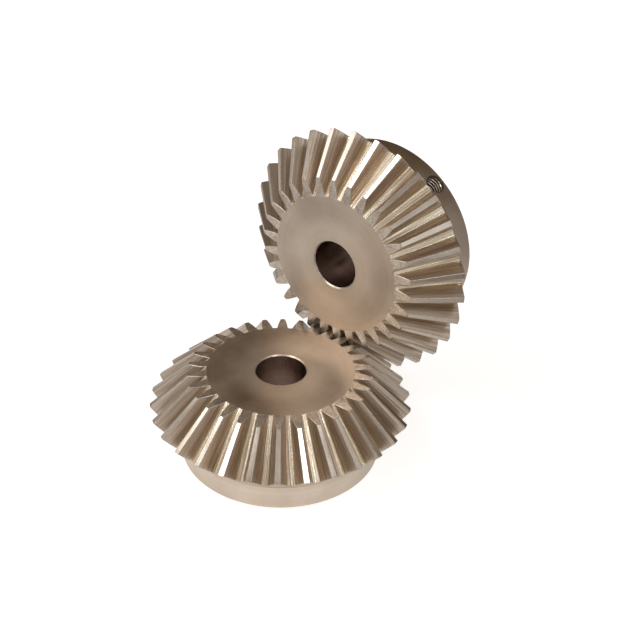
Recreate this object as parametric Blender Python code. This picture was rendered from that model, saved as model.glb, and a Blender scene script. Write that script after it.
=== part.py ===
"""Pair of equal straight-tooth bevel gears on crossing shafts, in mesh.

The shaft axes cross at the origin. The lower gear turns about Z and lies below the
origin; the upper gear turns about X and lies on the +X side. Each gear is drawn in its
own frame first: its axis is Z, its pitch cone has its tip at the origin, and its body
lies at negative Z ("depth" is the distance below that tip).
"""
import math

import bmesh
import bpy
from mathutils import Matrix, Vector

# gear teeth
MODULE = 0.0020
TEETH = 30
PRESSURE_ANGLE = math.radians(20)
ADDENDUM = 1.0 * MODULE
DEDENDUM = 1.188 * MODULE
TOOTH_THINNING = 0.00012            # taken off every tooth for backlash
FLANK_STEPS = 4                     # facets up each tooth flank
FILLET_HEIGHT = 0.0006
FILLET_REACH = 0.00045
PITCH_RADIUS = MODULE * TEETH / 2   # at the large end
BACK_CONE_TIP = 2 * PITCH_RADIUS    # depth of the back cone's tip
ROLL_RADIUS = PITCH_RADIUS * math.sqrt(2)

# gear body
DISC_DEPTH = 0.0198                 # flat front disc
TOE_SLOPE = math.radians(4)         # front ends of the teeth lean back
HUB_RADIUS = 0.0241
BACK_DEPTH = 0.0420
HUB_CHAMFER = 0.0003
BORE_RADIUS = 0.0060
BORE_CHAMFER = 0.0004

# tapped hole and set screw
HOLE_DEPTH = 0.0389                 # along the gear's axis
HOLE_RADIUS = 0.0025
HOLE_MOUTH = 0.0004
HOLE_FROM_SPACE = math.radians(1.25)
SCREW_RADIUS = 0.0022
SCREW_LENGTH = 0.0080
SCREW_INNER_END = 0.0065            # from the gear's axis
SOCKET_FLATS = 0.0025
SOCKET_DEPTH = 0.0025
SCREW_CHAMFER = 0.0004
CUP_RADIUS = 0.0012
CUP_DEPTH = 0.0006

# thrust washers behind the hubs
WASHER_GAP = 0.0003
WASHER_THICKNESS = 0.0010
WASHER_BORE_RADIUS = 0.00625
WASHER_RADIUS = 0.0130

# how the pair stands in mesh, as turns of each gear about its own axis
PITCH_ANGLE = 2 * math.pi / TEETH
LOWER_SPACE = math.radians(8.25)    # a tooth space of the lower gear, from +X
UPPER_SPACE = LOWER_SPACE - PITCH_ANGLE / 2
LOWER_HOLE_SPACE = 3                # the tapped hole, in spaces on from the first
UPPER_HOLE_SPACE = 12               # counted the same way round the gear itself

ROUND_STEPS = 24
WASHER_STEPS = 48

STEEL = ("gear_steel", (0.47, 0.40, 0.34), 0.32, 1.0)
SCREW_STEEL = ("screw_steel", (0.10, 0.095, 0.09), 0.42, 1.0)
WASHER_STEEL = ("washer_steel", (0.55, 0.52, 0.48), 0.35, 1.0)


def clear_scene():
    for obj in list(bpy.data.objects):
        bpy.data.objects.remove(obj, do_unlink=True)


def material(spec):
    name, colour, roughness, metallic = spec
    mat = bpy.data.materials.get(name) or bpy.data.materials.new(name)
    mat.use_nodes = True
    shader = mat.node_tree.nodes["Principled BSDF"]
    shader.inputs["Base Color"].default_value = (*colour, 1.0)
    shader.inputs["Roughness"].default_value = roughness
    shader.inputs["Metallic"].default_value = metallic
    return mat


def link_mesh(name, bm, mat, sharp=math.radians(28)):
    bmesh.ops.recalc_face_normals(bm, faces=bm.faces[:])
    mesh = bpy.data.meshes.new(name)
    bm.to_mesh(mesh)
    bm.free()
    mesh.shade_smooth()
    mesh.set_sharp_from_angle(angle=sharp)
    mesh.materials.append(mat)
    obj = bpy.data.objects.new(name, mesh)
    bpy.context.scene.collection.objects.link(obj)
    return obj


def involute(angle):
    return math.tan(angle) - angle


def half_tooth(roll):
    """Half the tooth's angle in the unrolled back cone, at distance roll from its tip."""
    base = ROLL_RADIUS * math.cos(PRESSURE_ANGLE)
    thick = math.pi * MODULE / 2 - TOOTH_THINNING
    lean = involute(math.acos(min(1.0, base / roll)))
    return thick / 2 / ROLL_RADIUS + involute(PRESSURE_ANGLE) - lean


def half_profile():
    """(roll, turn about the gear's axis) from the root corner up to the tip corner."""
    root = ROLL_RADIUS - DEDENDUM
    start = root + FILLET_HEIGHT
    tip = ROLL_RADIUS + ADDENDUM
    points = [(root, half_tooth(start) + FILLET_REACH / root)]
    for step in range(FLANK_STEPS + 1):
        roll = start + (tip - start) * step / FLANK_STEPS
        points.append((roll, half_tooth(roll)))
    return [(roll, turn * math.sqrt(2)) for roll, turn in points]


def heel_point(roll, turn):
    radius = roll / math.sqrt(2)
    return Vector((radius * math.cos(turn), radius * math.sin(turn), radius - BACK_CONE_TIP))


def toe_point(heel):
    """Where the line from the pitch cone's tip to a heel point meets the front."""
    root = heel_point(ROLL_RADIUS - DEDENDUM, 0)
    slope = math.tan(TOE_SLOPE)
    disc_radius = DISC_DEPTH * root.x / -root.z
    radius = math.hypot(heel.x, heel.y)
    scale = (DISC_DEPTH - disc_radius * slope) / (-heel.z - radius * slope)
    return heel * scale


def tooth_rows(bm, centre):
    """Heel and toe vertex pairs of one tooth, as rows from the root up to the tip."""
    rows = []
    for roll, turn in half_profile():
        heels = [heel_point(roll, centre - turn), heel_point(roll, centre + turn)]
        rows.append([(bm.verts.new(h), bm.verts.new(toe_point(h))) for h in heels])
    return rows


def tooth_faces(bm, rows):
    for low, high in zip(rows, rows[1:]):
        (a_heel, a_toe), (b_heel, b_toe) = low
        (c_heel, c_toe), (d_heel, d_toe) = high
        bm.faces.new((a_heel, b_heel, d_heel, c_heel))
        bm.faces.new((a_toe, c_toe, d_toe, b_toe))
        bm.faces.new((a_heel, c_heel, c_toe, a_toe))
        bm.faces.new((b_heel, b_toe, d_toe, d_heel))
    (a_heel, a_toe), (b_heel, b_toe) = rows[-1]
    bm.faces.new((a_heel, b_heel, b_toe, a_toe))


def ring(bm, turns, radius, depth):
    return [bm.verts.new((radius * math.cos(t), radius * math.sin(t), -depth)) for t in turns]


def bridge(bm, first, second):
    count = len(first)
    for i in range(count):
        j = (i + 1) % count
        bm.faces.new((first[i], first[j], second[j], second[i]))


def gear_mesh():
    """One gear with the middle of a tooth space on its +X side."""
    bm = bmesh.new()
    corner = half_profile()[0][1]
    turns, heel_ring, toe_ring = [], [], []
    for tooth in range(TEETH):
        centre = (tooth + 0.5) * PITCH_ANGLE
        rows = tooth_rows(bm, centre)
        tooth_faces(bm, rows)
        heel_ring += [pair[0] for pair in rows[0]]
        toe_ring += [pair[1] for pair in rows[0]]
        turns += [centre - corner, centre + corner]
    for i in range(1, len(turns), 2):
        j = (i + 1) % len(turns)
        bm.faces.new((heel_ring[i], heel_ring[j], toe_ring[j], toe_ring[i]))
    outline = [
        (HUB_RADIUS, BACK_CONE_TIP - HUB_RADIUS),
        (HUB_RADIUS, BACK_DEPTH - HUB_CHAMFER),
        (HUB_RADIUS - HUB_CHAMFER, BACK_DEPTH),
        (BORE_RADIUS + BORE_CHAMFER, BACK_DEPTH),
        (BORE_RADIUS, BACK_DEPTH - BORE_CHAMFER),
        (BORE_RADIUS, DISC_DEPTH + BORE_CHAMFER),
        (BORE_RADIUS + BORE_CHAMFER, DISC_DEPTH),
    ]
    last = heel_ring
    for radius, depth in outline:
        now = ring(bm, turns, radius, depth)
        bridge(bm, last, now)
        last = now
    bridge(bm, last, toe_ring)
    return bm


def revolve(bm, profile, steps):
    """Closed round body about Z from (radius, height) points; radius 0 makes a tip."""
    rings = []
    for radius, height in profile:
        if radius == 0:
            rings.append([bm.verts.new((0, 0, height))])
            continue
        turns = [2 * math.pi * i / steps for i in range(steps)]
        rings.append(ring(bm, turns, radius, -height))
    for first, second in zip(rings, rings[1:]):
        if len(first) == 1 or len(second) == 1:
            tip, rim = (first[0], second) if len(first) == 1 else (second[0], first)
            for i in range(steps):
                bm.faces.new((tip, rim[i], rim[(i + 1) % steps]))
        else:
            bridge(bm, first, second)


def cut(obj, cutter):
    cutter.display_type = "WIRE"
    cutter.hide_render = True
    mod = obj.modifiers.new("cut_" + cutter.name, "BOOLEAN")
    mod.operation = "DIFFERENCE"
    mod.solver = "EXACT"
    mod.object = cutter


def gear_frame_lower(turn):
    return Matrix.Rotation(turn, 4, "Z")


def gear_frame_upper(turn):
    """Turn about +X, with the gear's own +Z pointing back along -X."""
    base = Matrix(((0, 0, -1, 0), (0, -1, 0, 0), (-1, 0, 0, 0), (0, 0, 0, 1)))
    return Matrix.Rotation(turn, 4, "X") @ base


def radial_frame(gear_frame, turn):
    """Frame with +Z pointing outward along the tapped hole, at the hole's depth."""
    tilt = Matrix.Rotation(math.pi / 2, 4, "Y")
    depth = Matrix.Translation((0, 0, -HOLE_DEPTH))
    return gear_frame @ depth @ Matrix.Rotation(turn, 4, "Z") @ tilt


def make_gear(name, frame, hole_frame, steel):
    bm = gear_mesh()
    bmesh.ops.transform(bm, matrix=frame, verts=bm.verts[:])
    gear = link_mesh(name, bm, steel)
    bm = bmesh.new()
    mouth = HOLE_RADIUS + HOLE_MOUTH
    outside = HUB_RADIUS * 1.2
    profile = [
        (0, BORE_RADIUS * 0.5), (HOLE_RADIUS, BORE_RADIUS * 0.5),
        (HOLE_RADIUS, HUB_RADIUS - HOLE_MOUTH * 1.4),
        (mouth, HUB_RADIUS), (mouth, outside), (0, outside),
    ]
    revolve(bm, profile, ROUND_STEPS)
    cutter = link_mesh(name + "_hole_cutter", bm, steel)
    cutter.matrix_world = hole_frame
    cut(gear, cutter)
    return gear


def hexagon(bm, flats, low, high):
    radius = flats / math.sqrt(3)
    turns = [math.radians(60 * i) for i in range(6)]
    bottom, top = ring(bm, turns, radius, -low), ring(bm, turns, radius, -high)
    bridge(bm, bottom, top)
    bm.faces.new(bottom)
    bm.faces.new(top)


def make_screw(name, hole_frame, steel):
    """Headless screw with a hexagon socket outside and a cup point inside."""
    bm = bmesh.new()
    half = SCREW_LENGTH / 2
    profile = [
        (0, CUP_DEPTH - half), (CUP_RADIUS, -half), (CUP_RADIUS + 0.0003, -half),
        (SCREW_RADIUS, -half + 0.0008), (SCREW_RADIUS, half - SCREW_CHAMFER),
        (SCREW_RADIUS - SCREW_CHAMFER, half), (0, half),
    ]
    revolve(bm, profile, ROUND_STEPS)
    screw = link_mesh(name, bm, steel)
    place = hole_frame @ Matrix.Translation((0, 0, SCREW_INNER_END + half))
    screw.matrix_world = place
    bm = bmesh.new()
    hexagon(bm, SOCKET_FLATS, half - SOCKET_DEPTH, half + SOCKET_DEPTH)
    cutter = link_mesh(name + "_socket_cutter", bm, steel)
    cutter.matrix_world = place
    cut(screw, cutter)
    return screw


def make_washer(name, frame, steel):
    bm = bmesh.new()
    near = BACK_DEPTH + WASHER_GAP
    far = near + WASHER_THICKNESS
    turns = [2 * math.pi * i / WASHER_STEPS for i in range(WASHER_STEPS)]
    corners = [(WASHER_BORE_RADIUS, near), (WASHER_RADIUS, near),
               (WASHER_RADIUS, far), (WASHER_BORE_RADIUS, far)]
    rings = [ring(bm, turns, radius, depth) for radius, depth in corners]
    for first, second in zip(rings, rings[1:] + rings[:1]):
        bridge(bm, first, second)
    bmesh.ops.transform(bm, matrix=frame, verts=bm.verts[:])
    return link_mesh(name, bm, steel)


def make_side(prefix, frame, hole_space, steels):
    """A gear with its set screw and its thrust washer, in the gear's own turn."""
    gear_steel, screw_steel, washer_steel = steels
    hole = radial_frame(frame, hole_space * PITCH_ANGLE + HOLE_FROM_SPACE)
    make_gear(prefix + "_gear", frame, hole, gear_steel)
    make_screw(prefix + "_set_screw", hole, screw_steel)
    make_washer(prefix + "_thrust_washer", frame, washer_steel)


def main():
    clear_scene()
    steels = [material(spec) for spec in (STEEL, SCREW_STEEL, WASHER_STEEL)]
    make_side("lower", gear_frame_lower(LOWER_SPACE), LOWER_HOLE_SPACE, steels)
    make_side("upper", gear_frame_upper(UPPER_SPACE), UPPER_HOLE_SPACE, steels)


main()
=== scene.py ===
"""Looks of a pair of equal straight-tooth bevel gears in mesh.

Each piece is modelled in its own frame, as in the CAD: the gear's axis is Z, the tip of
its pitch cone is the origin, and its body lies at negative Z ("depth" is the distance
below that tip). Every tooth surface runs along straight lines from that tip.
Lengths are in metres.
"""
import math

import bmesh
import bpy
from mathutils import Matrix, Vector


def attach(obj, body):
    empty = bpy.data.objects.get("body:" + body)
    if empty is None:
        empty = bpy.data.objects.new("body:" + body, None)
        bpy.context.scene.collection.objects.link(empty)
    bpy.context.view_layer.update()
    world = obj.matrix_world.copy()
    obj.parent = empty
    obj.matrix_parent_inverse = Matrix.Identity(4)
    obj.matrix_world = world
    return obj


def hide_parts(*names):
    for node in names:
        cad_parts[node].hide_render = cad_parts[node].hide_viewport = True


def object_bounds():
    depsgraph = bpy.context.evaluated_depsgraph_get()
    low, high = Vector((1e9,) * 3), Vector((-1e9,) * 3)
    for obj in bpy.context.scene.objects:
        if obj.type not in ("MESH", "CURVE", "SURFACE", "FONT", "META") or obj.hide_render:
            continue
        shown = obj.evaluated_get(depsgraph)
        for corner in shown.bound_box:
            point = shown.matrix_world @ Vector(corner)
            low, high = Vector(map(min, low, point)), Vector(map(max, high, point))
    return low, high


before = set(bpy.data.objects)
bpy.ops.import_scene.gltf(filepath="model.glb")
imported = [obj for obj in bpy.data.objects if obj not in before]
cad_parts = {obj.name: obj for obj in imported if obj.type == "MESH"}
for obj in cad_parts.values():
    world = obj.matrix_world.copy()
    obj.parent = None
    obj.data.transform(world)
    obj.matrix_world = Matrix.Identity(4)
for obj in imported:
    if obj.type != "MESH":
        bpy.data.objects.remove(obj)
CAD_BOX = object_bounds()
FLOOR_HEIGHT = CAD_BOX[0].z

# gear teeth, as in the CAD
MODULE = 0.0020
TEETH = 30
PRESSURE_ANGLE = math.radians(20)
ADDENDUM = 1.0 * MODULE
DEDENDUM = 1.188 * MODULE
TOOTH_THINNING = 0.00012
FILLET_HEIGHT = 0.0006
FILLET_REACH = 0.00045
PITCH_RADIUS = MODULE * TEETH / 2
BACK_CONE_TIP = 2 * PITCH_RADIUS
ROLL_RADIUS = PITCH_RADIUS * math.sqrt(2)
PITCH_ANGLE = 2 * math.pi / TEETH

# gear body, as in the CAD
DISC_DEPTH = 0.0198
TOE_SLOPE = math.radians(4)
HUB_RADIUS = 0.0241
BACK_DEPTH = 0.0420
BORE_RADIUS = 0.0060
HOLE_DEPTH = 0.0389
HOLE_FROM_SPACE = math.radians(1.25)    # from the middle of a tooth space to the hole
LOWER_TURN = math.radians(8.25)
UPPER_TURN = LOWER_TURN - PITCH_ANGLE / 2
LOWER_HOLE_SPACE = 3
UPPER_HOLE_SPACE = 12

# fine shape that the CAD leaves out
TOOTH_EDGE = 0.00010                # broken edge round every tooth
TOE_EDGE = 1.2 * TOOTH_EDGE         # the same, along the tooth at its front end
HUB_EDGE = 0.00025
BORE_EDGE = 0.00030
DISC_MARGIN = 0.00012               # between the turned disc and the bottoms of the spaces
FAN_STEP = 0.00035                  # plain margin between the teeth and the back cone
ROOT_STEPS = 2
FILLET_STEPS = 4
FLANK_STEPS = 7
TOP_STEPS = 2
SHARP = math.radians(18)            # edges sharper than this aren't smoothed
LEVEL = 0.99999                     # faces this square to the axis are shaded flat

# M5 thread of the tapped hole and of the set screw
HOLE_START = 0.6 * BORE_RADIUS      # inside the bore
HOLE_END = 1.15 * HUB_RADIUS        # beyond the hub
THREAD_PITCH = 0.0008
HOLE_CREST = 0.00222
HOLE_ROOT = 0.00255
HOLE_MOUTH = 0.0029
GROOVE_START = 0.00013              # deeper than this, the thread gets the near-black groove tone
MOUTH_DEPTH = 0.0002                # of the cone that opens the hole
THREAD_FLANK = 0.44                 # share of the pitch from a crest's middle to the root
CREST_GAIN = 1.15                   # above 1, it gives the crests a flat
SCREW_CREST = 0.00218
SCREW_ROOT = 0.00190
SCREW_LENGTH = 0.0080
SCREW_INNER_END = 0.0065            # from the gear's axis
SCREW_POINT = 0.0007                # height of the cone at the inner end
SCREW_EDGE = 0.0002
SOCKET_FLATS = 0.0025
SOCKET_DEPTH = 0.0025
SOCKET_TIP = 0.0004
CUP_RADIUS = 0.0012
CUP_DEPTH = 0.0006
THREAD_TURN_STEPS = 36
THREAD_PITCH_STEPS = 8
JOIN = 0.00001                      # between a thread's end and what closes it

# thrust washers
WASHER_GAP = 0.0003
WASHER_THICKNESS = 0.0010
WASHER_BORE_RADIUS = 0.00625
WASHER_RADIUS = 0.0130
WASHER_EDGE = 0.00012
WASHER_STEPS = 160

# camera
VIEW_AZIMUTH = math.radians(-52.83)
VIEW_ELEVATION = math.radians(33.78)
VIEW_ROLL = math.radians(1.67)
VIEW_DISTANCE = 0.3072
VIEW_RIGHT = 0.00878                # the camera's shift along its own right
VIEW_UP = -0.00467
VIEW_LENS = 75.4
VIEW_CLIP = (0.01, 20.0)

# studio
FLOOR_SIZE = 3.0                    # from the middle to each side
FLOOR_TONE = (0.86, 0.86, 0.86, 1.0)
FLOOR_GLOW = 0.62
BACKDROP_RADIUS = 1.2 * FLOOR_SIZE
BACKDROP_GLOW = (0.99, 0.985, 0.975, 1.0)
SHEET_DROP = 0.0005                 # of the reflected floor below the real one
SHEET_REACH = 0.30                  # the reflected floor's stops are shares of this
SHEET_GLOW = 1.18
SHEET_STOPS = [(0.14, (1.0, 0.97, 0.94, 1.0)), (0.24, (0.74, 0.715, 0.69, 1.0)),
               (0.40, (0.46, 0.44, 0.42, 1.0)), (0.70, (0.26, 0.25, 0.235, 1.0))]
LIT_SIDE = (0.77, 0.64, 0.0)        # towards this side the reflected floor stays bright
LIT_START = 0.05
LIT_GAIN = 1.9
SHADED_SIDE = (0.80, -0.60, 0.0)    # and towards this side it is in shade, close by
SHADED_LOSS = 0.42
SHADE_IN = (0.0, 0.03)
SHADE_OUT = (0.05, 0.08)
ROOM_SIDE = (-0.93, -0.34, 0.10)    # where the bright side of the room is
ROOM_FADE = (-0.60, 0.10)           # from the dark side to the bright one
ROOM_RISE = (0.32, 0.55)            # between these heights the bright side dims
ROOM_LOW = 0.85                     # how bright it is below them
ROOM_HIGH = 0.35                    # and above them
ROOM_DARK = (0.12, 0.085, 0.052, 1.0)
ROOM_BRIGHT = (1.0, 0.99, 0.97, 1.0)
BOX_DISTANCE = 0.60
BLACK = (0.0, 0.0, 0.0, 1.0)
WHITE = (1.0, 1.0, 1.0, 1.0)

# light and dark tone of each kind of steel
TURNED_TONES = (0.66, 0.565, 0.47), (0.50, 0.41, 0.33)
TOP_TONES = (0.72, 0.64, 0.56), (0.54, 0.46, 0.38)
ROOT_TONES = (1.0, 0.91, 0.74), (0.40, 0.30, 0.215)
FLANK_TONES = (0.72, 0.615, 0.515), (0.41, 0.33, 0.26)
END_TONES = (0.84, 0.75, 0.65), (0.46, 0.385, 0.32)
EDGE_TONES = (0.58, 0.50, 0.42), (0.36, 0.29, 0.235)
BORE_TONES = (0.52, 0.42, 0.37), (0.27, 0.21, 0.185)
# tapped thread: light tones near its crests, near-black ones deeper in its grooves
THREAD_TONES = (0.95, 0.88, 0.78), (0.55, 0.47, 0.40)
GROOVE_TONES = (0.12, 0.095, 0.075), (0.05, 0.04, 0.03)
SCREW_TONES = (0.17, 0.16, 0.15), (0.055, 0.052, 0.05)
WASHER_TONES = (0.62, 0.60, 0.57), (0.48, 0.46, 0.43)

# size of each pattern in the steel, as its scale per metre, and the depth of its relief
CLOUD_SCALE = 95.0
BAND_SCALE = 330.0
RING_SCALE = 1600.0
RING_DEPTH = 0.000012
GRIT_SCALE = 1900.0
NICK_SCALE = 1300.0
NICK_DEPTH = 0.00002
GRAIN_SCALE = 2100.0
GRAIN_DEPTH = 0.00003
MOTTLE_SCALE = 260.0
PATCH_SCALE = 700.0
ROOT_MARKS = 105.0                  # cutter marks side by side in one radian of the tooth
ROOT_MARK_DEPTH = 0.00016
FLANK_MARKS = 80.0
FLANK_MARK_DEPTH = 0.00008
MARK_LENGTH = 45.0                  # the higher, the shorter the marks along the tooth
BROAD_MARK_LENGTH = 60.0
NOISE_SPAN = (0.3, 0.7)             # where most of a noise's values lie

# zones of a gear's surface, which are its material slots
TURNED, TOP, ROOT, FLANK, EDGE, BORE, THREAD, TOE, GROOVE = range(9)


# ---------------------------------------------------------------- node helpers

def new_material(name):
    mat = bpy.data.materials.new(name)
    mat.use_nodes = True
    return mat, mat.node_tree, mat.node_tree.nodes["Principled BSDF"]


def node(tree, kind, inputs=None, **settings):
    """A new node; an input is given a value or another node's output socket."""
    made = tree.nodes.new(kind)
    for key, value in settings.items():
        setattr(made, key, value)
    for key, value in (inputs or {}).items():
        if isinstance(value, bpy.types.NodeSocket):
            tree.links.new(value, made.inputs[key])
        else:
            made.inputs[key].default_value = value
    return made


def maths(tree, operation, first, second):
    return node(tree, "ShaderNodeMath", {0: first, 1: second}, operation=operation).outputs[0]


def weighted(tree, first, second, share):
    """The sum of the two, with that share of the first."""
    return maths(tree, "ADD", maths(tree, "MULTIPLY", first, share),
                 maths(tree, "MULTIPLY", second, 1 - share))


def object_point(tree):
    return node(tree, "ShaderNodeTexCoord").outputs["Object"]


def noise(tree, vector, scale, detail, roughness):
    inputs = {"Vector": vector, "Scale": scale, "Detail": detail, "Roughness": roughness}
    return node(tree, "ShaderNodeTexNoise", inputs).outputs["Fac"]


def scaled(tree, vector, factor):
    made = node(tree, "ShaderNodeVectorMath", {0: vector, 3: factor}, operation="SCALE")
    return made.outputs[0]


def remap(tree, value, low, high, to_low, to_high):
    inputs = {0: value, 1: low, 2: high, 3: to_low, 4: to_high}
    return node(tree, "ShaderNodeMapRange", inputs).outputs[0]


def turned_point(tree):
    """(radius, depth) of the point, so that a pattern of it runs round the axis in rings."""
    parts = node(tree, "ShaderNodeSeparateXYZ", {0: object_point(tree)})
    flat = node(tree, "ShaderNodeCombineXYZ", {0: parts.outputs[0], 1: parts.outputs[1]})
    radius = node(tree, "ShaderNodeVectorMath", {0: flat.outputs[0]}, operation="LENGTH")
    line = node(tree, "ShaderNodeCombineXYZ", {0: radius.outputs[1], 1: parts.outputs[2]})
    return line.outputs[0]


def ray_point(tree, across, along):
    """Point pattern that is long and thin along the lines from the pitch cone's tip."""
    point = object_point(tree)
    ray = node(tree, "ShaderNodeVectorMath", {0: point}, operation="NORMALIZE").outputs[0]
    both = {0: scaled(tree, ray, across), 1: scaled(tree, point, along)}
    return node(tree, "ShaderNodeVectorMath", both, operation="ADD").outputs[0]


def mixed(tree, factor, dark, light):
    made = node(tree, "ShaderNodeMix", {"Factor": factor}, data_type="RGBA")
    made.inputs[6].default_value = (*dark, 1.0)
    made.inputs[7].default_value = (*light, 1.0)
    return made.outputs[2]


def toned(tree, shader, value, band, tones):
    """Colour that goes from the dark tone to the light one as value crosses the band."""
    light, dark = tones
    fade = remap(tree, value, *band, 0.0, 1.0)
    tree.links.new(mixed(tree, fade, dark, light), shader.inputs["Base Color"])


def roughened(tree, shader, value, band, first, last):
    """Roughness that goes from first to last as value crosses the band."""
    rough = remap(tree, value, *band, first, last)
    tree.links.new(rough, shader.inputs["Roughness"])


def bumped(tree, shader, height, distance, strength):
    inputs = {"Height": height, "Distance": distance, "Strength": strength}
    made = node(tree, "ShaderNodeBump", inputs)
    tree.links.new(made.outputs[0], shader.inputs["Normal"])


def metal(shader, anisotropic=0.0):
    shader.inputs["Metallic"].default_value = 1.0
    shader.inputs["Anisotropic"].default_value = anisotropic


# ---------------------------------------------------------------- materials

def turned_steel(name, roughness, tones, aniso):
    """Lathe-turned face: fine rings about the axis, and a faint cloudy patina."""
    mat, tree, shader = new_material(name)
    metal(shader, aniso)
    tangent = node(tree, "ShaderNodeTangent", direction_type="RADIAL", axis="Z")
    tree.links.new(tangent.outputs[0], shader.inputs["Tangent"])
    cloud = noise(tree, object_point(tree), CLOUD_SCALE, 4.0, 0.55)
    rings = noise(tree, turned_point(tree), RING_SCALE, 3.0, 0.6)
    bands = noise(tree, turned_point(tree), BAND_SCALE, 2.0, 0.5)
    toned(tree, shader, weighted(tree, cloud, bands, 0.6), (0.36, 0.64), tones)
    roughened(tree, shader, cloud, NOISE_SPAN, roughness * 0.82, roughness * 1.2)
    bumped(tree, shader, rings, RING_DEPTH, 0.5)
    return mat


def cut_steel(name, roughness, tones, across, depth):
    """Tooth surface left by the gear cutter: marks along the tooth, towards the tip."""
    mat, tree, shader = new_material(name)
    metal(shader)
    marks = noise(tree, ray_point(tree, across, MARK_LENGTH), 1.0, 2.0, 0.65)
    broad = noise(tree, ray_point(tree, across * 0.3, BROAD_MARK_LENGTH), 1.0, 2.0, 0.5)
    grit = noise(tree, object_point(tree), GRIT_SCALE, 2.0, 0.6)
    shade = weighted(tree, marks, broad, 0.65)
    toned(tree, shader, shade, (0.40, 0.60), tones)
    roughened(tree, shader, shade, (0.38, 0.62), roughness * 1.35, roughness * 0.75)
    height = maths(tree, "ADD", marks, maths(tree, "MULTIPLY", grit, 0.2))
    bumped(tree, shader, height, depth, 0.8)
    return mat


def sawn_steel(name):
    """Front ends of the teeth: brighter and grainier than the turned disc beside them."""
    mat, tree, shader = new_material(name)
    metal(shader)
    grain = noise(tree, object_point(tree), GRAIN_SCALE, 3.0, 0.65)
    mottle = noise(tree, object_point(tree), MOTTLE_SCALE, 3.0, 0.6)
    shade = weighted(tree, grain, mottle, 0.5)
    toned(tree, shader, shade, (0.38, 0.62), END_TONES)
    roughened(tree, shader, mottle, NOISE_SPAN, 0.36, 0.50)
    bumped(tree, shader, shade, GRAIN_DEPTH, 0.7)
    return mat


def edge_steel(name):
    """Broken edges, rubbed and nicked."""
    mat, tree, shader = new_material(name)
    metal(shader)
    nicks = noise(tree, object_point(tree), NICK_SCALE, 3.0, 0.6)
    toned(tree, shader, nicks, (0.35, 0.65), EDGE_TONES)
    roughened(tree, shader, nicks, NOISE_SPAN, 0.30, 0.42)
    bumped(tree, shader, nicks, NICK_DEPTH, 0.4)
    return mat


def black_steel(name):
    """Blackened, hardened steel of the set screws, rubbed brighter here and there."""
    mat, tree, shader = new_material(name)
    metal(shader)
    patches = noise(tree, object_point(tree), PATCH_SCALE, 4.0, 0.6)
    toned(tree, shader, patches, (0.42, 0.68), SCREW_TONES)
    roughened(tree, shader, patches, NOISE_SPAN, 0.5, 0.3)
    bumped(tree, shader, patches, NICK_DEPTH, 0.5)
    return mat


def gear_materials():
    """One material for each zone, in the zones' order."""
    return [
        turned_steel("turned_steel", 0.36, TURNED_TONES, 0.62),
        turned_steel("tooth_top_steel", 0.20, TOP_TONES, 0.3),
        cut_steel("tooth_root_steel", 0.27, ROOT_TONES, ROOT_MARKS, ROOT_MARK_DEPTH),
        cut_steel("tooth_flank_steel", 0.33, FLANK_TONES, FLANK_MARKS, FLANK_MARK_DEPTH),
        edge_steel("edge_steel"),
        turned_steel("bore_steel", 0.27, BORE_TONES, 0.3),
        turned_steel("thread_steel", 0.26, THREAD_TONES, 0.0),
        sawn_steel("tooth_end_steel"),
        turned_steel("groove_steel", 0.50, GROOVE_TONES, 0.0),
    ]


# ---------------------------------------------------------------- tooth shape

def involute(angle):
    return math.tan(angle) - angle


def half_tooth(roll):
    """Half the tooth's angle in the unrolled back cone, at distance roll from its tip."""
    base = ROLL_RADIUS * math.cos(PRESSURE_ANGLE)
    thick = math.pi * MODULE / 2 - TOOTH_THINNING
    lean = involute(math.acos(min(1.0, base / roll)))
    return thick / 2 / ROLL_RADIUS + involute(PRESSURE_ANGLE) - lean


def half_outline():
    """(roll, turn from the tooth's middle, zone of the strip that follows), root to top.

    Turns are in the unrolled back cone, where the outline has its true shape."""
    root = ROLL_RADIUS - DEDENDUM
    start = root + FILLET_HEIGHT
    tip = ROLL_RADIUS + ADDENDUM
    space_middle = PITCH_ANGLE / 2 / math.sqrt(2)
    corner = half_tooth(start) + FILLET_REACH / root
    points = []
    for step in range(ROOT_STEPS):
        share = step / ROOT_STEPS
        points.append((root, space_middle + (corner - space_middle) * share, ROOT))
    bend = (root, half_tooth(start))
    for step in range(FILLET_STEPS):
        t = step / FILLET_STEPS
        ends = ((1 - t) ** 2, 2 * t * (1 - t), t ** 2)
        roll = ends[0] * root + ends[1] * bend[0] + ends[2] * start
        turn = ends[0] * corner + ends[1] * bend[1] + ends[2] * half_tooth(start)
        points.append((roll, turn, ROOT))
    for step in range(FLANK_STEPS + 1):
        roll = start + (tip - TOOTH_EDGE - start) * step / FLANK_STEPS
        points.append((roll, half_tooth(roll), FLANK if step < FLANK_STEPS else EDGE))
    top_turn = half_tooth(tip) - TOOTH_EDGE / tip
    for step in range(TOP_STEPS):
        points.append((tip, top_turn * (1 - step / TOP_STEPS), TOP))
    return points


def gear_outline():
    """The closed outline of all the teeth: (roll, turn, zone of the strip that follows).

    It starts at a tooth space's middle, at turn 0, in the unrolled back cone."""
    half = half_outline()
    tip = ROLL_RADIUS + ADDENDUM
    pitch = PITCH_ANGLE / math.sqrt(2)
    points = []
    for tooth in range(TEETH):
        middle = (tooth + 0.5) * pitch
        points += [(roll, middle - turn, zone) for roll, turn, zone in half]
        points.append((tip, middle, TOP))
        for i in range(len(half) - 1, 0, -1):
            points.append((half[i][0], middle + half[i][1], half[i - 1][2]))
    return points


def inset(points, amount):
    """The outline moved into the metal by amount, along its own normals."""
    count = len(points)
    full = PITCH_ANGLE / math.sqrt(2) * TEETH
    moved = []
    for i, (roll, turn, zone) in enumerate(points):
        before, after = points[i - 1], points[(i + 1) % count]
        step = (after[1] - before[1]) % full
        along = Vector((after[0] - before[0], step * roll))
        if along.length:
            along.normalize()
        moved.append((roll - along.y * amount, turn + along.x * amount / roll, zone))
    return moved


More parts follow.
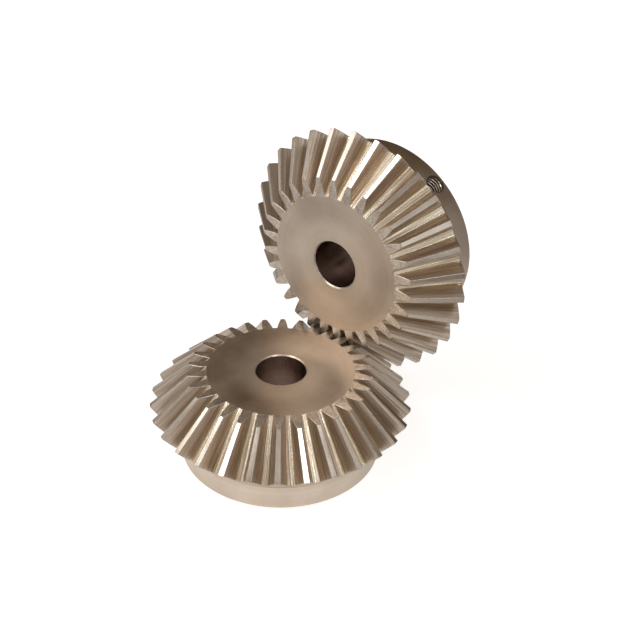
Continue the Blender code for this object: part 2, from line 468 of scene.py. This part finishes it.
def heel_point(roll, turn):
    radius, angle = roll / math.sqrt(2), turn * math.sqrt(2)
    return Vector((radius * math.cos(angle), radius * math.sin(angle), radius - BACK_CONE_TIP))


def disc_radius():
    root = heel_point(ROLL_RADIUS - DEDENDUM, 0)
    return DISC_DEPTH * root.x / -root.z


def toe_point(heel):
    """Where the line from the pitch cone's tip to a heel point meets the front."""
    slope = math.tan(TOE_SLOPE)
    radius = math.hypot(heel.x, heel.y)
    scale = (DISC_DEPTH - disc_radius() * slope) / (-heel.z - radius * slope)
    return heel * scale


def flat_ring(turns, radius, depth):
    return [Vector((radius * math.cos(t), radius * math.sin(t), -depth)) for t in turns]


def gear_rings():
    """Loops of points round the gear, from the front disc out, back and through the bore.

    Each loop comes with the zone of the strip to the next loop, or None where the strip
    takes the zones of the outline."""
    outline = gear_outline()
    inner = inset(outline, TOOTH_EDGE)
    turns = [turn * math.sqrt(2) for _, turn, _ in outline]
    heels = [heel_point(roll, turn) for roll, turn, _ in outline]
    heels_inner = [heel_point(roll, turn) for roll, turn, _ in inner]
    toes = [toe_point(h) for h in heels]
    toes_inner = [toe_point(h) for h in heels_inner]
    toe_edge = [t + t.normalized() * TOE_EDGE for t in toes]
    heel_edge = [h - h.normalized() * TOOTH_EDGE for h in heels]
    root_radius = (ROLL_RADIUS - DEDENDUM) / math.sqrt(2)
    cone = root_radius - FAN_STEP
    rings = [
        (flat_ring(turns, disc_radius() - DISC_MARGIN, DISC_DEPTH), TOE),
        (toes_inner, EDGE),
        (toe_edge, None),
        (heel_edge, EDGE),
        (heels_inner, TURNED),
        (flat_ring(turns, cone, BACK_CONE_TIP - cone), TURNED),
        (flat_ring(turns, HUB_RADIUS, BACK_CONE_TIP - HUB_RADIUS), TURNED),
        (flat_ring(turns, HUB_RADIUS, BACK_DEPTH - HUB_EDGE), EDGE),
        (flat_ring(turns, HUB_RADIUS - HUB_EDGE, BACK_DEPTH), TURNED),
        (flat_ring(turns, BORE_RADIUS + BORE_EDGE, BACK_DEPTH), EDGE),
        (flat_ring(turns, BORE_RADIUS, BACK_DEPTH - BORE_EDGE), BORE),
        (flat_ring(turns, BORE_RADIUS, DISC_DEPTH + BORE_EDGE), EDGE),
        (flat_ring(turns, BORE_RADIUS + BORE_EDGE, DISC_DEPTH), TURNED),
    ]
    return rings, [zone for _, _, zone in outline]


# ---------------------------------------------------------------- mesh helpers

def strip(bm, first, second, zones):
    count = len(first)
    for i in range(count):
        j = (i + 1) % count
        face = bm.faces.new((first[i], first[j], second[j], second[i]))
        face.material_index = zones[i]


def finished_mesh(name, bm, materials):
    bmesh.ops.recalc_face_normals(bm, faces=bm.faces[:])
    mesh = bpy.data.meshes.new(name)
    bm.to_mesh(mesh)
    bm.free()
    for mat in materials:
        mesh.materials.append(mat)
    shade(mesh)
    return mesh


def shade(mesh):
    """Smooth, but with sharp edges kept and turned end faces truly flat."""
    mesh.shade_smooth()
    mesh.set_sharp_from_angle(angle=SHARP)
    for face in mesh.polygons:
        if abs(face.normal.z) > LEVEL:
            face.use_smooth = False


def add_object(name, mesh, place=Matrix.Identity(4)):
    obj = bpy.data.objects.new(name, mesh)
    bpy.context.scene.collection.objects.link(obj)
    obj.matrix_world = place
    return obj


def cut_away(obj, cutter):
    """Take the cutter's volume away from obj, and remove the cutter."""
    mod = obj.modifiers.new("cut", "BOOLEAN")
    mod.operation = "DIFFERENCE"
    mod.solver = "EXACT"
    mod.material_mode = "INDEX"
    mod.object = cutter
    depsgraph = bpy.context.evaluated_depsgraph_get()
    result = bpy.data.meshes.new_from_object(obj.evaluated_get(depsgraph))
    obj.modifiers.clear()
    obj.data = result
    shade(result)
    bpy.data.objects.remove(cutter, do_unlink=True)


def thread_body(bm, low, high, crest, root, zone, ends):
    """Round body about Z with a helical thread between heights low and high.

    ends are the (radius, height) points that close the bottom and the top; a radius of
    0 closes it to a point."""
    rows = round((high - low) / THREAD_PITCH * THREAD_PITCH_STEPS)
    rings = []
    for row in range(rows + 1):
        height = low + (high - low) * row / rows
        fade = min(1.0, (height - low) / THREAD_PITCH, (high - height) / THREAD_PITCH)
        ring = []
        for i in range(THREAD_TURN_STEPS):
            share = i / THREAD_TURN_STEPS
            phase = (height / THREAD_PITCH - share) % 1.0
            rise = max(0.0, 1 - abs(phase - 0.5) / THREAD_FLANK)
            radius = root + (crest - root) * min(1.0, rise * CREST_GAIN) * max(0.0, fade)
            turn = 2 * math.pi * share
            ring.append(bm.verts.new((radius * math.cos(turn), radius * math.sin(turn), height)))
        rings.append(ring)
    bottom, top = ends
    rings = close_rings(bm, bottom)[::-1] + rings + close_rings(bm, top)
    for first, second in zip(rings, rings[1:]):
        join_rings(bm, first, second, zone)


def close_rings(bm, points):
    rings = []
    for radius, height in points:
        if radius == 0:
            rings.append([bm.verts.new((0, 0, height))])
            continue
        steps = THREAD_TURN_STEPS
        turns = [2 * math.pi * i / steps for i in range(steps)]
        rings.append([bm.verts.new(p) for p in flat_ring(turns, radius, -height)])
    return rings


def join_rings(bm, first, second, zone):
    if len(first) > 1 and len(second) > 1:
        strip(bm, first, second, [zone] * len(first))
        return
    tip, rim = (first[0], second) if len(first) == 1 else (second[0], first)
    for i in range(len(rim)):
        bm.faces.new((tip, rim[i], rim[(i + 1) % len(rim)])).material_index = zone


# ---------------------------------------------------------------- pieces

def hole_frame():
    """Frame in the gear's own frame with +Z pointing outward along the tapped hole."""
    tilt = Matrix.Rotation(math.pi / 2, 4, "Y")
    depth = Matrix.Translation((0, 0, -HOLE_DEPTH))
    return depth @ Matrix.Rotation(HOLE_FROM_SPACE, 4, "Z") @ tilt


def hole_cutter(materials):
    """The shape of the tapped hole, from inside the bore to beyond the hub."""
    bm = bmesh.new()
    start, end = HOLE_START, HUB_RADIUS - MOUTH_DEPTH
    inside = [(HOLE_CREST, start - JOIN), (0, start - JOIN)]
    mouth = [(HOLE_CREST, end + JOIN), (HOLE_MOUTH, HUB_RADIUS + MOUTH_DEPTH),
             (HOLE_MOUTH, HOLE_END), (0, HOLE_END)]
    thread_body(bm, start, end, HOLE_ROOT, HOLE_CREST, THREAD, (inside, mouth))
    cutter = add_object("hole_cutter", finished_mesh("cutter", bm, materials), hole_frame())
    # faces deep in the thread's grooves get the near-black groove steel
    for face in cutter.data.polygons:
        if math.hypot(face.center.x, face.center.y) > HOLE_CREST + GROOVE_START:
            face.material_index = GROOVE
    return cutter


def gear_mesh(materials):
    """A gear whose tapped hole is just past the tooth space on its +X side."""
    bm = bmesh.new()
    rings, outline_zones = gear_rings()
    loops = [[bm.verts.new(p) for p in points] for points, _ in rings]
    for i, (_, zone) in enumerate(rings):
        zones = outline_zones if zone is None else [zone] * len(outline_zones)
        strip(bm, loops[i], loops[(i + 1) % len(loops)], zones)
    gear = add_object("gear_blank", finished_mesh("gear", bm, materials))
    cut_away(gear, hole_cutter(materials))
    mesh = gear.data
    bpy.data.objects.remove(gear, do_unlink=True)
    return mesh


def socket_cutter(materials):
    """The hexagon socket, with a shallow point at its bottom."""
    bm = bmesh.new()
    radius = SOCKET_FLATS / math.sqrt(3)
    turns = [math.radians(60 * i) for i in range(6)]
    floor = SCREW_LENGTH / 2 - SOCKET_DEPTH
    mouth = SCREW_LENGTH / 2 + SOCKET_DEPTH
    tip = [bm.verts.new((0, 0, floor - SOCKET_TIP))]
    rings = [[bm.verts.new(p) for p in flat_ring(turns, radius, -h)] for h in (floor, mouth)]
    join_rings(bm, tip, rings[0], 0)
    strip(bm, rings[0], rings[1], [0] * 6)
    bm.faces.new(rings[1])
    return add_object("socket_cutter", finished_mesh("socket", bm, materials))


def screw_mesh(materials):
    """Headless screw about Z: hexagon socket at the top, cup point at the bottom."""
    bm = bmesh.new()
    half = SCREW_LENGTH / 2
    low, high = SCREW_POINT - half, half - SCREW_EDGE
    point = [(SCREW_ROOT, low), (CUP_RADIUS + SCREW_EDGE, -half),
             (CUP_RADIUS, -half), (0, -half + CUP_DEPTH)]
    face = [(SCREW_ROOT, high), (SCREW_ROOT - SCREW_EDGE, half), (0, half)]
    thread_body(bm, low + JOIN, high - JOIN, SCREW_CREST, SCREW_ROOT, 0, (point, face))
    screw = add_object("screw_blank", finished_mesh("screw", bm, materials))
    cut_away(screw, socket_cutter(materials))
    mesh = screw.data
    bpy.data.objects.remove(screw, do_unlink=True)
    return mesh


def washer_mesh(materials):
    bm = bmesh.new()
    near = BACK_DEPTH + WASHER_GAP
    far = near + WASHER_THICKNESS
    edge = WASHER_EDGE
    turns = [2 * math.pi * i / WASHER_STEPS for i in range(WASHER_STEPS)]
    corners = [
        (WASHER_BORE_RADIUS + edge, near, 0), (WASHER_RADIUS - edge, near, 1),
        (WASHER_RADIUS, near + edge, 0), (WASHER_RADIUS, far - edge, 1),
        (WASHER_RADIUS - edge, far, 0), (WASHER_BORE_RADIUS + edge, far, 1),
        (WASHER_BORE_RADIUS, far - edge, 0), (WASHER_BORE_RADIUS, near + edge, 1),
    ]
    loops = [[bm.verts.new(p) for p in flat_ring(turns, r, d)] for r, d, _ in corners]
    for i, (_, _, zone) in enumerate(corners):
        strip(bm, loops[i], loops[(i + 1) % len(loops)], [zone] * WASHER_STEPS)
    return finished_mesh("washer", bm, materials)


def place_piece(name, mesh, place, body, node_name):
    piece = add_object(name, mesh, place)
    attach(piece, body)
    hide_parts(node_name)


def turned_copy(mesh, turn, name):
    """A copy of a gear's mesh, turned about its own axis."""
    copy = mesh.copy()
    copy.name = name
    copy.transform(turn)
    return copy


def make_side(side, own_frame, turn, gear, screw, washer):
    """A gear, its set screw and its washer. own_frame only swaps axes, so the turn about
    the gear's axis is in the mesh."""
    spin = Matrix.Rotation(turn, 4, "Z")
    in_hole = hole_frame() @ Matrix.Translation((0, 0, SCREW_INNER_END + SCREW_LENGTH / 2))
    place_piece(side + "_bevel_gear", turned_copy(gear, spin, side + "_gear_mesh"), own_frame,
                side + "_wheel", side + "_gear")
    place_piece(side + "_grub_screw", screw, own_frame @ spin @ in_hole,
                side + "_screw", side + "_set_screw")
    place_piece(side + "_washer", washer, own_frame,
                "housing_side", side + "_thrust_washer")


def make_pieces():
    gear = gear_mesh(gear_materials())
    screw = screw_mesh([black_steel("black_steel")])
    ground = turned_steel("ground_steel", 0.30, WASHER_TONES, 0.55)
    washer = washer_mesh([ground, edge_steel("washer_edge_steel")])
    upright = Matrix.Identity(4)
    sideways = Matrix(((0, 0, -1, 0), (0, -1, 0, 0), (-1, 0, 0, 0), (0, 0, 0, 1)))
    make_side("lower", upright, LOWER_TURN + LOWER_HOLE_SPACE * PITCH_ANGLE,
              gear, screw, washer)
    make_side("upper", sideways, UPPER_HOLE_SPACE * PITCH_ANGLE - UPPER_TURN,
              gear, screw, washer)


# ---------------------------------------------------------------- studio

def view_axes():
    """The camera's right, up and forward directions."""
    a, e = VIEW_AZIMUTH, VIEW_ELEVATION
    forward = Vector((-math.sin(a) * math.cos(e), math.cos(a) * math.cos(e), -math.sin(e)))
    level = Vector((math.cos(a), math.sin(a), 0))
    above = level.cross(forward)
    right = math.cos(VIEW_ROLL) * level + math.sin(VIEW_ROLL) * above
    up = -math.sin(VIEW_ROLL) * level + math.cos(VIEW_ROLL) * above
    return right, up, forward


def make_camera():
    right, up, forward = view_axes()
    data = bpy.data.cameras.new("camera")
    data.lens = VIEW_LENS
    data.clip_start, data.clip_end = VIEW_CLIP
    camera = bpy.data.objects.new("camera", data)
    bpy.context.scene.collection.objects.link(camera)
    turn = Matrix((right, up, -forward)).transposed().to_4x4()
    place = VIEW_RIGHT * right + VIEW_UP * up - VIEW_DISTANCE * forward
    camera.matrix_world = Matrix.Translation(place) @ turn
    bpy.context.scene.camera = camera


def flat_sheet(name, height, mat):
    bm = bmesh.new()
    size = FLOOR_SIZE
    corners = [(-size, -size), (size, -size), (size, size), (-size, size)]
    bm.faces.new([bm.verts.new((x, y, height)) for x, y in corners])
    sheet = add_object(name, finished_mesh(name, bm, [mat]))
    return sheet


def glowing_material(name):
    """Material that only glows, and reflects nothing."""
    mat, tree, shader = new_material(name)
    shader.inputs["Base Color"].default_value = BLACK
    shader.inputs["Specular IOR Level"].default_value = 0.0
    shader.inputs["Emission Strength"].default_value = 1.0
    return mat, tree, shader


def make_floor():
    """Pale light table: it glows a little, so that shadows stay soft."""
    mat, _, shader = new_material("pale_floor")
    shader.inputs["Roughness"].default_value = 0.9
    shader.inputs["Specular IOR Level"].default_value = 0.1
    shader.inputs["Base Color"].default_value = FLOOR_TONE
    shader.inputs["Emission Color"].default_value = WHITE
    shader.inputs["Emission Strength"].default_value = FLOOR_GLOW
    floor = flat_sheet("floor", FLOOR_HEIGHT, mat)
    floor.visible_glossy = False


def towards(tree, side):
    """How far the point lies towards that side."""
    inputs = {0: object_point(tree), 1: side}
    return node(tree, "ShaderNodeVectorMath", inputs, operation="DOT_PRODUCT").outputs[1]


def sheet_colour(tree):
    """Bright under the gears, and dimmer away from them."""
    reach = node(tree, "ShaderNodeVectorMath", {0: object_point(tree)}, operation="LENGTH")
    share = remap(tree, reach.outputs[1], 0.0, SHEET_REACH, 0.0, 1.0)
    ramp = node(tree, "ShaderNodeValToRGB", {0: share})
    elements = ramp.color_ramp.elements
    elements[0].position, elements[0].color = SHEET_STOPS[0]
    elements[1].position, elements[1].color = SHEET_STOPS[-1]
    for place, colour in SHEET_STOPS[1:-1]:
        elements.new(place).color = colour
    return ramp.outputs[0]


def sheet_strength(tree):
    lit = remap(tree, towards(tree, LIT_SIDE), LIT_START, SHEET_REACH, 1.0, LIT_GAIN)
    reach = towards(tree, SHADED_SIDE)
    shade_in = remap(tree, reach, *SHADE_IN, 0.0, SHADED_LOSS)
    shade_out = remap(tree, reach, *SHADE_OUT, 1.0, 0.0)
    kept = maths(tree, "SUBTRACT", SHEET_GLOW, maths(tree, "MULTIPLY", shade_in, shade_out))
    return maths(tree, "MULTIPLY", lit, kept)


def make_reflected_floor():
    """The sheet that the steel mirrors instead of the floor."""
    mat, tree, shader = glowing_material("reflected_floor")
    tree.links.new(sheet_colour(tree), shader.inputs["Emission Color"])
    tree.links.new(sheet_strength(tree), shader.inputs["Emission Strength"])
    sheet = flat_sheet("reflected_floor", FLOOR_HEIGHT - SHEET_DROP, mat)
    sheet.visible_camera = False
    sheet.visible_diffuse = False
    sheet.visible_shadow = False


def make_backdrop():
    """Pale dome behind everything, which only the camera sees."""
    bm = bmesh.new()
    bmesh.ops.create_uvsphere(bm, u_segments=48, v_segments=24, radius=BACKDROP_RADIUS)
    mat, _, shader = glowing_material("pale_backdrop")
    shader.inputs["Emission Color"].default_value = BACKDROP_GLOW
    dome = add_object("backdrop", finished_mesh("backdrop", bm, [mat]))
    dome.visible_glossy = False
    dome.visible_diffuse = False
    dome.visible_shadow = False


def softbox(name, azimuth, elevation, width, height, radiance):
    """Rectangular light that faces the origin from that azimuth (0 is +X, 90 is +Y)."""
    data = bpy.data.lights.new(name, "AREA")
    data.shape = "RECTANGLE"
    data.size, data.size_y = width, height
    data.energy = radiance * math.pi * width * height
    lamp = bpy.data.objects.new(name, data)
    bpy.context.scene.collection.objects.link(lamp)
    a, e = math.radians(azimuth), math.radians(elevation)
    out = Vector((math.cos(a) * math.cos(e), math.sin(a) * math.cos(e), math.sin(e)))
    lamp.location = out * BOX_DISTANCE
    lamp.rotation_mode = "QUATERNION"
    lamp.rotation_quaternion = (-out).to_track_quat("-Z", "Y")
    lamp.visible_camera = False


def make_world():
    """The room that the steel mirrors: bright low on one side, dim above, dark opposite."""
    world = bpy.data.worlds.new("studio")
    world.use_nodes = True
    bpy.context.scene.world = world
    tree = world.node_tree
    way = node(tree, "ShaderNodeTexCoord").outputs["Generated"]
    height = node(tree, "ShaderNodeSeparateXYZ", {0: way}).outputs[2]
    side = node(tree, "ShaderNodeVectorMath", {0: way, 1: ROOM_SIDE}, operation="DOT_PRODUCT")
    share = remap(tree, side.outputs[1], *ROOM_FADE, 0.0, 1.0)
    level = remap(tree, height, *ROOM_RISE, ROOM_LOW, ROOM_HIGH)
    lit = maths(tree, "MULTIPLY", share, level)
    glow = node(tree, "ShaderNodeMix", {"Factor": lit}, data_type="RGBA")
    glow.inputs[6].default_value = ROOM_DARK
    glow.inputs[7].default_value = ROOM_BRIGHT
    tree.links.new(glow.outputs[2], tree.nodes["Background"].inputs[0])


def make_lights():
    softbox("left_box", azimuth=158, elevation=50, width=0.26, height=0.20, radiance=5.6)
    softbox("left_fill", azimuth=124, elevation=36, width=0.26, height=0.16, radiance=2.5)
    softbox("right_box", azimuth=250, elevation=50, width=0.17, height=0.20, radiance=5.0)
    softbox("rear_strip", azimuth=292, elevation=38, width=0.07, height=0.26, radiance=0.5)
    softbox("high_fill", azimuth=322, elevation=53, width=0.30, height=0.13, radiance=0.9)


def main():
    make_camera()
    make_floor()
    make_reflected_floor()
    make_backdrop()
    make_world()
    make_lights()
    bpy.context.scene.view_settings.view_transform = "Standard"
    make_pieces()


main()
